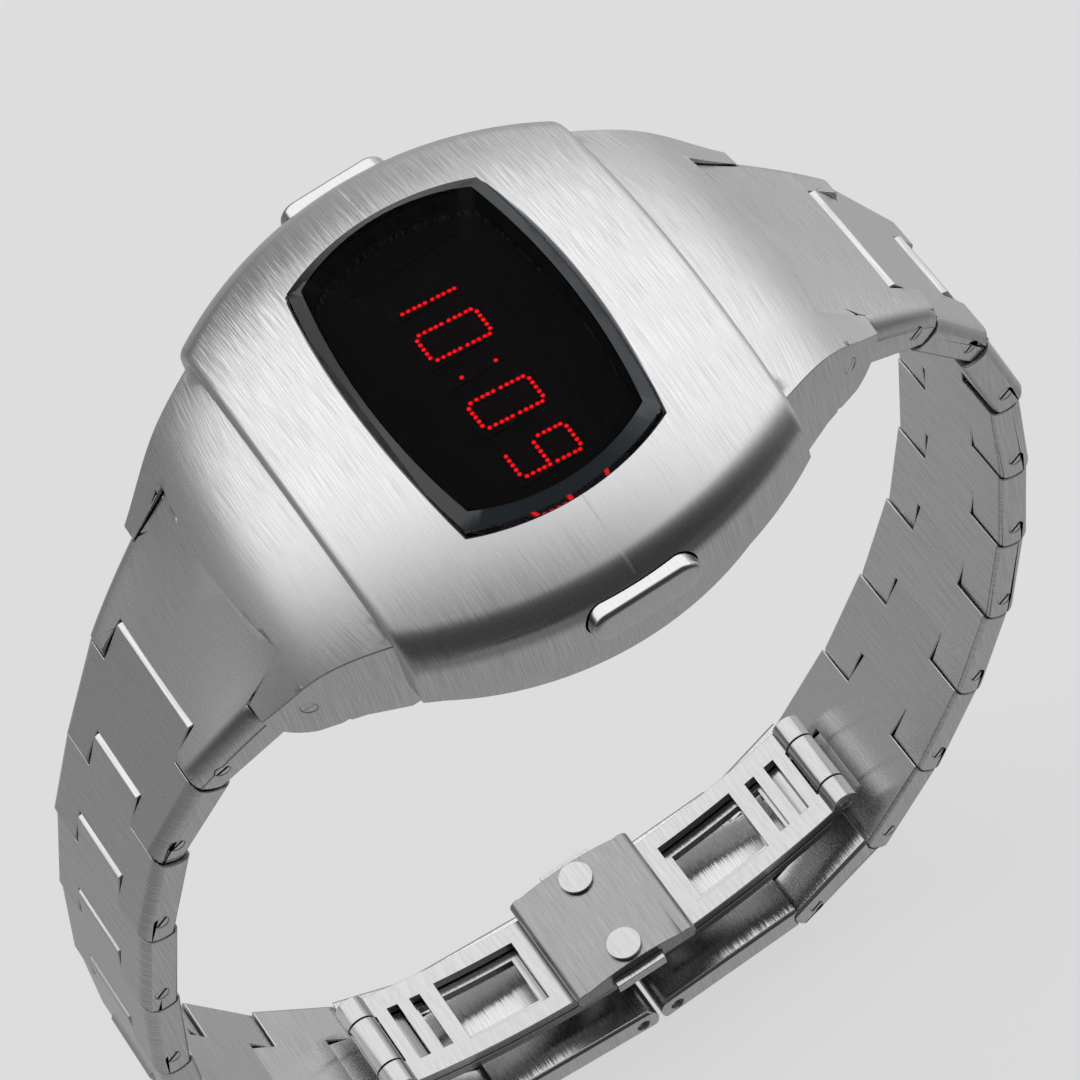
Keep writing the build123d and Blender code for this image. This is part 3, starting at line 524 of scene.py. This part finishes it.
def pin_ends():
    """Middle, side plane, side, turn and half slot of the two ends of each hinge pin between links,
    by the link or hood that holds the pin. The plane is the best fit to the rim of the pin's hole."""
    found = {}
    for joint in frame["record"]["behaviour"]["joints"]:
        pair = [joint["parent"], joint["child"]]
        if joint["type"] != "hinge" or not all(name.startswith(("case", "link_")) for name in pair):
            continue
        holder = "case_middle" if "case" in pair else min(pair)
        slot = hood_half_slot if holder == "case_middle" else half_slot
        middle = np.array(joint["pos_m"][1:])
        spots = values_of(nodes[holder].data.vertices, "co", 3)
        around = np.linalg.norm(spots[:, 1:] - middle, axis=1)
        rim = spots[(around > hole_rim[0]) & (around < hole_rim[1])]
        for k, way in enumerate((1, -1)):
            edge = rim[rim[:, 0] * way > np.abs(rim[:, 0]).max() - rim_depth]
            terms = np.concatenate([np.ones((len(edge), 1)), edge[:, 1:]], 1)
            plane = np.linalg.lstsq(terms, edge[:, 0], rcond=None)[0]
            found.setdefault(holder, []).append((middle, plane, way, pin_turn + pin_turn_step * k, slot))
    return found


for holder, places in pin_ends().items():
    points, faces = half_rounds(places)
    mesh = bpy.data.meshes.new(holder + "_pin_ends")
    mesh.from_pydata(points.tolist(), [], faces)
    turn_outwards(mesh)
    lay_grain(mesh)
    add_piece(holder + "_pin_ends", mesh, brushed, body_of[holder])


# The front shell: one domed cushion of the same brushed steel that drops over the case middle. Its
# top curves in both directions, folds softly into the 3 and 9 sides and crisply at the ends, and
# is cut for the crystal, both hoods and both pushers.

millimetre = 0.001
shell_corner = (15.7, 15.2)
shell_bulge = (4.4, 0.25)
shell_foot = 3.8
foot_chamfer = 0.12
foot_inset = 0.994
shell_wall = 1.3
dome_radius = 50.0
dome_apex = 14.05
side_fold = 2.0
end_fold = 0.5
side_steps = (9, 90)
end_steps = (7, 90)
fold_rings = 18
top_rings = 21
seat_corner = (11.78, 7.63)
window_corner = (10.6, 6.45)
crystal_bulge = (1.9, 1.1)
ledge_top = 10.6
ledge_bottom = 9.8
rim_chamfer = 0.14
pusher_height = 7.6
pusher_radius = 1.45
pocket_half = 4.2
pocket_gap = 0.12
pocket_points = 48
pocket_reach = (17.5, 22.0)


def arc_side(corner, bulge, spacing):
    """Points on a circular arc from (-corner, 0) to (corner, 0) that rises by bulge at its middle.
    The radius is (corner^2 + bulge^2) / (2 bulge); spacing runs from -1 to 1 along the chord."""
    radius = (corner**2 + bulge**2) / (2 * bulge)
    chord = spacing * corner
    return chord, np.sqrt(radius**2 - chord**2) - (radius - bulge)


def pillow_ring(corner, bulge, side_spacing, end_spacing):
    """Closed outline with four bulging sides and sharp corners, anticlockwise from the 3/6 corner."""
    along, rise = arc_side(corner[1], bulge[0], side_spacing)
    east = np.stack([corner[0] + rise, along], 1)
    along, rise = arc_side(corner[0], bulge[1], end_spacing)
    north = np.stack([-along, corner[1] + rise], 1)
    return np.concatenate([east[:-1], north[:-1], -east[:-1], -north[:-1]])


def corner_spacing(length, fold, steps, middle):
    """Places from -1 to 1 along a side, close together where the neighbouring fold turns: each lies
    fold * (1 - cos(angle)) from the corner for even angles, then evenly over the middle."""
    angle = np.linspace(0, math.pi / 2, steps)
    near = fold * (1 - np.cos(angle)) / length
    inner = np.linspace(near[-1], 2 - near[-1], middle)[1:-1]
    return np.concatenate([near, inner, 2 - near[::-1]]) - 1


def below_fold(distance, fold):
    """Drop of a rounded edge: fold minus the height of its quarter circle at this distance."""
    inside = np.clip(fold - distance, 0, fold)
    return fold - np.sqrt(fold**2 - inside**2)


def shell_height(x, y):
    """Height of the top: a sphere, less the rounded folds measured from the side and end arcs."""
    dome = dome_apex - dome_radius + np.sqrt(dome_radius**2 - x**2 - y**2)
    side_radius = (shell_corner[1]**2 + shell_bulge[0]**2) / (2 * shell_bulge[0])
    side_centre = shell_corner[0] + shell_bulge[0] - side_radius
    to_side = side_radius - np.hypot(np.abs(x) - side_centre, y)
    end_radius = (shell_corner[0]**2 + shell_bulge[1]**2) / (2 * shell_bulge[1])
    end_centre = shell_corner[1] + shell_bulge[1] - end_radius
    to_end = end_radius - np.hypot(x, np.abs(y) - end_centre)
    sides_drop = below_fold(np.maximum(to_side, 0), side_fold)
    ends_drop = below_fold(np.maximum(to_end, 0), end_fold)
    return dome - sides_drop - ends_drop


def ring_at(outline, height):
    """Outline points with one height, or one for each point."""
    return np.concatenate([outline, np.broadcast_to(height, len(outline))[:, None]], 1)


def ring_on_top(outline, below=0.0):
    """Outline points laid on the shell's top, or the given distance below it."""
    return ring_at(outline, shell_height(outline[:, 0], outline[:, 1]) - below)


def mesh_of_rings(name, rings):
    """Closed surface through a list of rings of equal count; the last ring joins the first again."""
    grid = np.stack(rings) * millimetre
    rows, count = grid.shape[:2]
    index = np.arange(rows * count).reshape(rows, count)
    right = np.roll(index, -1, axis=1)
    quads = np.stack([index, right, np.roll(right, -1, axis=0), np.roll(index, -1, axis=0)], -1)
    mesh = bpy.data.meshes.new(name)
    mesh.from_pydata(grid.reshape(-1, 3), [], quads.reshape(-1, 4).tolist())
    return mesh


def shell_ring(corner, grown=0.0, bulge=crystal_bulge):
    """Pillow outline with the spacing of the shell's own, so that every ring has points to match."""
    return pillow_ring((corner[0] + grown, corner[1] + grown), bulge, side_spacing, end_spacing)


side_spacing = corner_spacing(shell_corner[1], end_fold, *end_steps)
end_spacing = corner_spacing(shell_corner[0], side_fold, *side_steps)
outline = shell_ring(shell_corner, bulge=shell_bulge)
inner = shell_ring(shell_corner, -shell_wall, shell_bulge)
seat = shell_ring(seat_corner)
window = shell_ring(window_corner)
rim = shell_ring(seat_corner, rim_chamfer)
span = np.linalg.norm(rim - outline, axis=1, keepdims=True)
inward = (rim - outline) / span
rings = [ring_at(inner, shell_foot), ring_at(outline * foot_inset, shell_foot),
         ring_at(outline, shell_foot + foot_chamfer)]
rings += [ring_on_top(outline + inward * side_fold * (1 - math.cos(angle)))
          for angle in np.linspace(0, math.pi / 2, fold_rings)]
rings += [ring_on_top(outline + inward * (side_fold + part * (span - side_fold)))
          for part in np.linspace(0, 1, top_rings + 1)[1:]]
rings += [ring_on_top(seat, rim_chamfer), ring_at(seat, ledge_top), ring_at(window, ledge_top),
          ring_at(window, ledge_bottom), ring_at(inner, ledge_bottom)]
shell_mesh = mesh_of_rings("front_shell_finished", rings)

turn = np.linspace(0, 2 * math.pi, pocket_points + 1)[:-1]
pocket_radius = pusher_radius + pocket_gap
pill = np.stack([np.sign(np.cos(turn)) * (pocket_half - pusher_radius) + pocket_radius * np.cos(turn),
                 pusher_height + pocket_radius * np.sin(turn)], 1)


def pill_block(name, low_x, high_x):
    """Straight block over the pill outline between two places along X."""
    count = len(pill)
    near = np.concatenate([np.full((count, 1), low_x), pill], 1)
    far = np.concatenate([np.full((count, 1), high_x), pill], 1)
    mesh = bpy.data.meshes.new(name)
    sides = [(i, (i + 1) % count, (i + 1) % count + count, i + count) for i in range(count)]
    caps = [tuple(range(count))[::-1], tuple(range(count, 2 * count))]
    mesh.from_pydata((np.concatenate([near, far]) * millimetre).tolist(), [], sides + caps)
    return mesh


pocket_3 = pill_block("pocket_3", pocket_reach[0], pocket_reach[1])
pocket_9 = pill_block("pocket_9", -pocket_reach[1], -pocket_reach[0])
shell_mesh = cut_away(shell_mesh, [merged_mesh("case_middle", "core"), pocket_3, pocket_9])
lay_grain(shell_mesh, across=(1, -0.05))
shell = add_piece("front_shell_finished", shell_mesh, brushed, "case")
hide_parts("front_shell")


# The crystal: dark mineral glass, ground to a pillow outline with one flat bevel round its front. The
# flat front is coated against reflections. The bevel is polished glass, but its 3 and 12 faces are an
# opaque plain dark blue-grey: a painted reflection, standing in for the light the glass turns back
# from inside. The crystal sits on a thin rubber gasket on the shell's ledge.

crystal_corner = (11.7, 7.55)
crystal_top = 13.1
crystal_thickness = 2.1
bevel_width = 0.8
bevel_height = 0.55
points_each_side = 41
wiping_scale = 320.0
wiping_detail = 3.0
wiping_gloss = 0.5
speckle_detail = 4.0
speckle_gloss = 0.2
bump_height = 0.00003


def dark_glass(name, tint, index, roughness):
    """Tinted clear glass; faint noise in its gloss stands for the wiped surface."""
    material, tree, output = new_material(name)
    place = add(tree, "ShaderNodeTexCoord").outputs["Object"]
    wiping = add(tree, "ShaderNodeTexNoise", {"Vector": place, "Scale": wiping_scale,
                                              "Detail": wiping_detail})
    gloss = mapped(tree, wiping.outputs["Fac"],
                   target=(roughness * (1 - wiping_gloss), roughness * (1 + wiping_gloss)))
    glass = add(tree, "ShaderNodeBsdfPrincipled",
                {"Base Color": tint + (1,), "Roughness": gloss, "IOR": index, "Transmission Weight": 1.0})
    tree.links.new(glass.outputs[0], output.inputs["Surface"])
    return material


def speckled(name, colour, roughness, scale, contrast, bump=0.0, metallic=0.0):
    """Plain finish whose tone, gloss and height vary with fine noise."""
    material, tree, output = new_material(name)
    place = add(tree, "ShaderNodeTexCoord").outputs["Object"]
    noise = add(tree, "ShaderNodeTexNoise", {"Vector": place, "Scale": scale,
                                             "Detail": speckle_detail}).outputs["Fac"]
    shade = add(tree, "ShaderNodeMix", {"Factor": noise, "A": [c * (1 - contrast) for c in colour] + [1],
                                        "B": [min(1, c * (1 + contrast)) for c in colour] + [1]},
                data_type="RGBA").outputs["Result"]
    gloss = mapped(tree, noise, target=(roughness * (1 - speckle_gloss), roughness * (1 + speckle_gloss)))
    height = add(tree, "ShaderNodeBump", {"Height": noise, "Strength": bump, "Distance": bump_height})
    finish = add(tree, "ShaderNodeBsdfPrincipled", {"Base Color": shade, "Metallic": metallic,
                                                    "Roughness": gloss, "Normal": height.outputs[0]})
    tree.links.new(finish.outputs[0], output.inputs["Surface"])
    return material


even = np.linspace(-1, 1, points_each_side)
edge = pillow_ring(crystal_corner, crystal_bulge, even, even)
front_corner = (crystal_corner[0] - bevel_width, crystal_corner[1] - bevel_width)
front = pillow_ring(front_corner, crystal_bulge, even, even)
base = crystal_top - crystal_thickness
rings = [ring_at(edge, base), ring_at(edge, crystal_top - bevel_height), ring_at(front, crystal_top)]
count = len(edge)
grid = np.concatenate(rings + [[[0, 0, crystal_top], [0, 0, base]]]) * millimetre
around = [(i, (i + 1) % count) for i in range(count)]
sides = [(r * count + i, r * count + j, (r + 1) * count + j, (r + 1) * count + i)
         for r in range(2) for i, j in around]
fans = [(2 * count + i, 2 * count + j, 3 * count) for i, j in around]
fans += [(j, i, 3 * count + 1) for i, j in around]
crystal_mesh = bpy.data.meshes.new("crystal_polished")
crystal_mesh.from_pydata(grid.tolist(), [], sides + fans)
coated = dark_glass("dark_glass_coated_front", (0.16, 0.14, 0.16), index=1.10, roughness=0.004)
polished_bevel = dark_glass("dark_glass_polished_bevel", (0.20, 0.19, 0.22), index=1.6, roughness=0.01)
# Painted reflection: opaque dark blue-grey for the 3 and 12 bevel faces, in place of what the glass shows
# from inside.
painted_reflection_facet = speckled("dark_blue_painted_reflection", (0.028, 0.036, 0.044), roughness=0.1, scale=700, contrast=0.06)
crystal = add_piece("crystal_polished", crystal_mesh, coated, "case")
crystal_mesh.materials.append(polished_bevel)
crystal_mesh.materials.append(painted_reflection_facet)
kinds = np.zeros(len(crystal_mesh.polygons), np.int32)
kinds[:2 * count] = 1
# The 3 and 12 bevel faces take the painted reflection.
kinds[count:count + count // 2] = 2
crystal_mesh.polygons.foreach_set("material_index", kinds)
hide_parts("crystal")


# The display: lit dots on four digit dies and a colon die, on a dark ceramic carrier under a thin
# black mask. Each segment is a row of five dots, and the digits lean slightly, showing 10:09.

digit_plane = 9.9
dot_lift = 0.005
dot_radius = 0.155
dot_height = 0.05
dot_sides = 12
dot_dome = ((1.0, 0.0), (0.9, 0.6), (0.5, 0.95))
dot_glow = (4.6, 6.4)
dot_grain = 900.0
lean = 0.11
foot_y = -1.60
digit_shift = (0.5, -0.14)
left_edges = (-9.98, -5.34, 1.42, 6.16)
segment_width = 2.48
lower_rows = (-1.60, -1.16, -0.72, -0.33, 0.08)
upper_rows = (0.63, 1.07, 1.46, 1.90, 2.26)
bar_steps = (0.36, 0.79, 1.22, 1.66, 2.09)
bars = {"top": 2.51, "middle": 0.12, "bottom": -1.92}
colon = [(-0.65, -1.04), (-0.37, 1.48)]
one = ("right_low", "right_high")
nought = ("left_low", "left_high", "right_low", "right_high", "top", "bottom")
nine = ("left_high", "right_low", "right_high", "top", "middle", "bottom")

dots = list(colon)
for left, lit in zip(left_edges, (one, nought, nought, nine)):
    for segment in lit:
        if segment in bars:
            dots += [(left + step + lean * (bars[segment] - foot_y), bars[segment]) for step in bar_steps]
        else:
            start = left + (segment_width if segment.startswith("right") else 0)
            rows = lower_rows if segment.endswith("low") else upper_rows
            dots += [(start + lean * (y - foot_y), y) for y in rows]
dots = np.array(dots) + np.array(digit_shift)

turn = np.linspace(0, 2 * math.pi, dot_sides + 1)[:-1]
dome_rings = [(dot_radius * wide, dot_height * high) for wide, high in dot_dome]
dot_points = np.concatenate([np.stack([r * np.cos(turn), r * np.sin(turn), np.full(dot_sides, z)], 1)
                             for r, z in dome_rings] + [[[0, 0, dot_height], [0, 0, 0.0]]])
around = [(i, (i + 1) % dot_sides) for i in range(dot_sides)]
dot_faces = [(r * dot_sides + i, r * dot_sides + j, (r + 1) * dot_sides + j, (r + 1) * dot_sides + i)
             for r in range(2) for i, j in around]
dot_faces += [(2 * dot_sides + i, 2 * dot_sides + j, 3 * dot_sides) for i, j in around]
dot_faces += [(j, i, 3 * dot_sides + 1) for i, j in around]
centres = np.concatenate([dots, np.full((len(dots), 1), digit_plane + dot_lift)], 1)
places = (dot_points[None] + centres[:, None]).reshape(-1, 3) * millimetre
faces = [tuple(v + len(dot_points) * d for v in face) for d in range(len(dots)) for face in dot_faces]
dots_mesh = bpy.data.meshes.new("lit_dots")
dots_mesh.from_pydata(places.tolist(), [], faces)

material, tree, output = new_material("lit_red_dots")
place = add(tree, "ShaderNodeTexCoord").outputs["Object"]
unevenness = add(tree, "ShaderNodeTexNoise", {"Vector": place, "Scale": dot_grain, "Detail": 2.0})
glow = mapped(tree, unevenness.outputs["Fac"], target=dot_glow)
lamp = add(tree, "ShaderNodeBsdfPrincipled", {"Base Color": (0.4, 0.01, 0.02, 1), "Roughness": 0.4,
                                              "Emission Color": (1.0, 0.004, 0.009, 1),
                                              "Emission Strength": glow})
tree.links.new(lamp.outputs[0], output.inputs["Surface"])
add_piece("lit_dots", dots_mesh, material, "case")


def dress(node, material):
    """Give a CAD node that stays as it is its finish."""
    mesh = nodes[node].data
    mesh.materials.clear()
    mesh.materials.append(material)


dress("digit_dies", speckled("dark_red_die", (0.010, 0.0015, 0.002),
                             roughness=0.4, scale=2500, contrast=0.3))
dress("display_carrier", speckled("dark_ceramic", (0.004, 0.004, 0.0045),
                                  roughness=0.45, scale=3000, contrast=0.3))
dress("display_mask", speckled("black_mask_print", (0.004, 0.004, 0.004),
                               roughness=0.6, scale=4000, contrast=0.3))
seal_rubber = speckled("black_seal_rubber", (0.012, 0.012, 0.012),
                       roughness=0.55, scale=2500, contrast=0.25, bump=0.3)
dress("crystal_gasket", seal_rubber)


# The module behind the display: a green circuit board with its driver and quartz can, a moulded
# frame that holds the coin cell, the cell's spring strap and the two upright switch leaves.

dress("circuit_board", speckled("green_board", (0.02, 0.10, 0.05),
                                roughness=0.45, scale=900, contrast=0.35, bump=0.2))
dress("driver_chip", speckled("moulded_chip", (0.02, 0.02, 0.021),
                              roughness=0.5, scale=3000, contrast=0.25, bump=0.2))
dress("module_frame", speckled("moulded_module_frame", (0.05, 0.05, 0.055),
                               roughness=0.5, scale=1800, contrast=0.2, bump=0.2))
nickel = speckled("nickel_plate", (0.62, 0.61, 0.58),
                  roughness=0.22, scale=1200, contrast=0.08, bump=0.1, metallic=1.0)
dress("quartz_can", nickel)
dress("coin_cell", nickel)
spring_brass = speckled("spring_brass", (0.62, 0.45, 0.18),
                        roughness=0.3, scale=1500, contrast=0.12, bump=0.1, metallic=1.0)
dress("cell_strap", spring_brass)
dress("switch_leaves", spring_brass)


# The pushers: pill-shaped caps of polished steel on round stems, each sealed by a rubber ring and
# returned by a switch leaf. They slide into pockets in the shell's 3 and 9 sides.

pusher_round = 0.00012

polished = brushed_steel("steel_polished", grain=(500, 5000), tone=(0.62, 0.62, 0.625),
                         roughness=0.16, anisotropy=0.2, tilt=0.015, contrast=0.05)
for node in ("pusher_3", "pusher_9"):
    softened(node, polished, pusher_round)
dress("pusher_seals", seal_rubber)


# The case back: a flat steel plate with a satin face, pressed on a thin gasket by four slotted
# screws. The flat face rests on the wrist.

back_round = 0.00008
screw_round = 0.00004

softened("case_back", brushed, back_round)
softened("case_back_screws", polished, screw_round)
dress("case_back_gasket", seal_rubber)


# The hood pins: polished steel pins that are pressed through the two hoods. The first link of each
# strap turns on the one in its hood.

hood_pin_round = 0.00005

softened("hood_pins", polished, hood_pin_round)


# The folding clasp: a curved base plate with windows and slots, a crowned centre block held by two
# rivets, and two blades that fold on hinge pins under the base. All of it is polished steel with
# fine marks from use, duller on the block. The block's steel is also given a much darker tone, which
# is painted shade standing in for the dark case back that it mirrors. Push buttons slide in the block's
# sides.

clasp_round = 0.00006

# Painted shade: the block's steel tone is set far darker than the rest of the clasp, standing in for the
# dark case back it mirrors.
painted_shade_block_steel = brushed_steel("steel_clasp_block_painted_shade", grain=(300, 6000), tone=(0.30, 0.30, 0.305),
                     roughness=0.28, anisotropy=0.6, tilt=0.03, contrast=0.12)
clasp_steel = brushed_steel("steel_clasp", grain=(400, 5000), tone=(0.50, 0.50, 0.505),
                            roughness=0.2, anisotropy=0.3, tilt=0.02, contrast=0.08)
for node in ("clasp_base", "clasp_block", "clasp_blade_12", "clasp_blade_6", "clasp_button_3",
             "clasp_button_9", "clasp_rivets", "clasp_hinge_pins"):
    softened(node, painted_shade_block_steel if node == "clasp_block" else clasp_steel, clasp_round)

bpy.context.view_layer.update()
